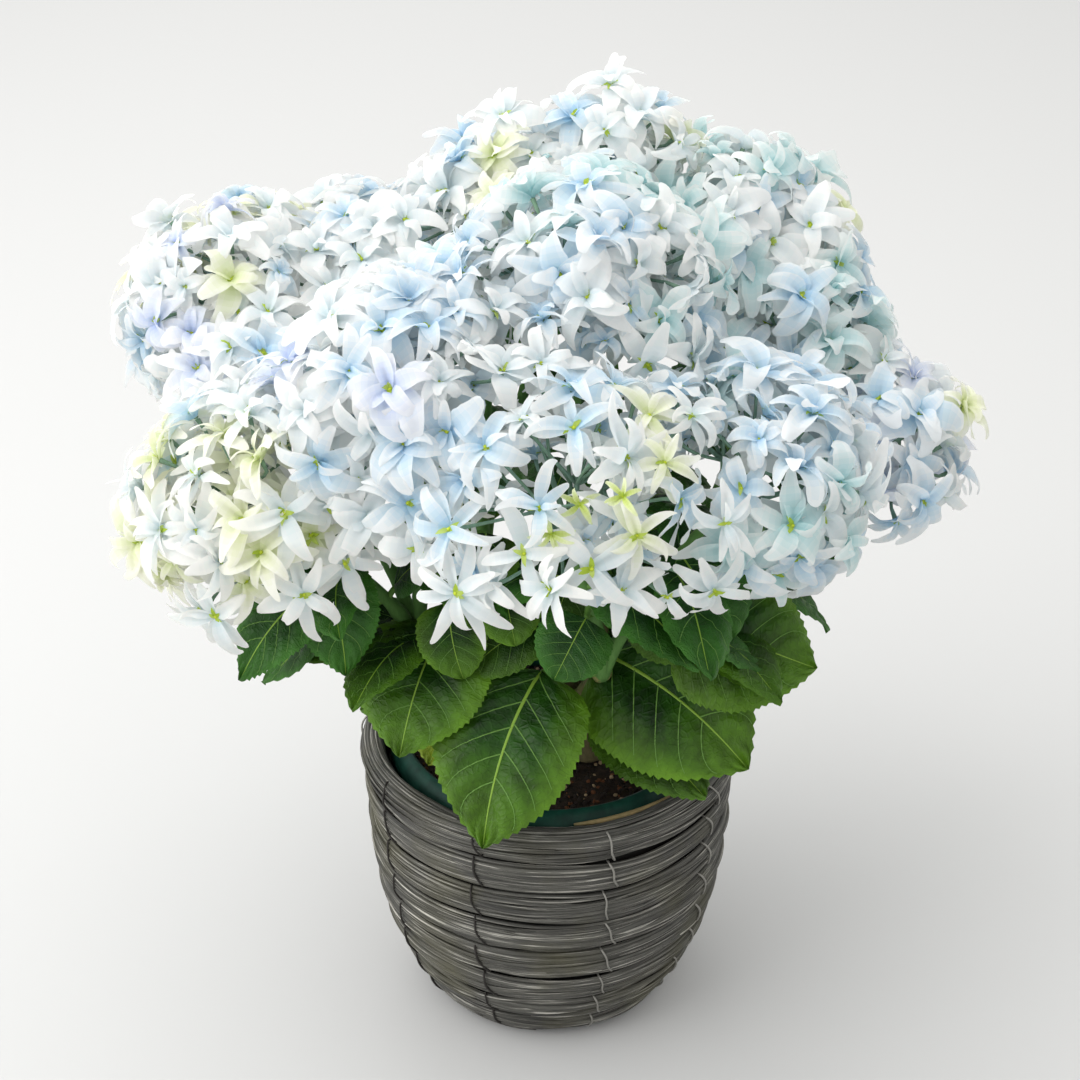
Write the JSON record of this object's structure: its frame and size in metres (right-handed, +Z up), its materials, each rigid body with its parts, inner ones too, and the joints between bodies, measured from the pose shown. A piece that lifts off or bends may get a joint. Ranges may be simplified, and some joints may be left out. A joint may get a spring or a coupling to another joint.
{
  "type": "potted hydrangea shrub",
  "caption": "Hydrangea shrub with pale blue and white double flower heads, growing in a plastic pot inside a round coiled wicker basket that stands on its flat underside.",
  "frame": {"origin": "middle of the basket's flat underside", "axes": "+Z up, -Y towards the side that the plant is looked at from, +X to that viewer's right"},
  "size_m": [0.4355, 0.399, 0.4923],
  "materials": {
    "willow": "weathered, unvarnished",
    "pot_plastic": "moulded, low sheen",
    "soil": "rough, granular",
    "bark": "rough bark",
    "green_stem": "smooth green skin",
    "leaf": "slightly glossy leaf",
    "white_flower": "soft, translucent",
    "blue_flower": "soft, translucent",
    "cream_flower": "soft, translucent"
  },
  "bodies": {
    "root": {"basket_base": "willow", "basket_coil_1": "willow", "basket_coil_2": "willow", "basket_coil_3": "willow", "basket_coil_4": "willow", "basket_coil_5": "willow", "basket_coil_6": "willow", "basket_coil_7": "willow", "basket_coil_8": "willow", "bough_back_left": "bark", "bough_back_right": "bark", "bough_front": "bark", "bough_left": "bark", "bough_right": "bark", "flowers_back": "blue_flower", "flowers_back_left": "white_flower", "flowers_back_right": "white_flower", "flowers_centre": "blue_flower", "flowers_centre_left": "white_flower", "flowers_front": "white_flower", "flowers_front_right": "blue_flower", "flowers_left_back": "white_flower", "flowers_left_front": "cream_flower", "flowers_right": "white_flower", "flowers_right_back": "blue_flower", "flowers_top": "white_flower", "flowers_top_left": "white_flower", "flowers_top_right": "white_flower", "leaves_lower_back_left": "leaf", "leaves_lower_back_right": "leaf", "leaves_lower_front": "leaf", "leaves_lower_front_left": "leaf", "leaves_lower_front_right": "leaf", "leaves_lower_right": "leaf", "leaves_upper_left": "leaf", "leaves_upper_left_back": "leaf", "leaves_upper_right": "leaf", "leaves_upper_right_back": "leaf", "pot": "pot_plastic", "soil": "soil", "stem_back": "green_stem", "stem_back_left": "green_stem", "stem_back_right": "green_stem", "stem_centre": "green_stem", "stem_centre_left": "green_stem", "stem_front": "green_stem", "stem_front_right": "green_stem", "stem_left_back": "green_stem", "stem_left_front": "green_stem", "stem_right": "green_stem", "stem_right_back": "green_stem", "stem_top": "green_stem", "stem_top_left": "green_stem", "stem_top_right": "green_stem", "trunk": "bark"}
  },
  "joints": []
}
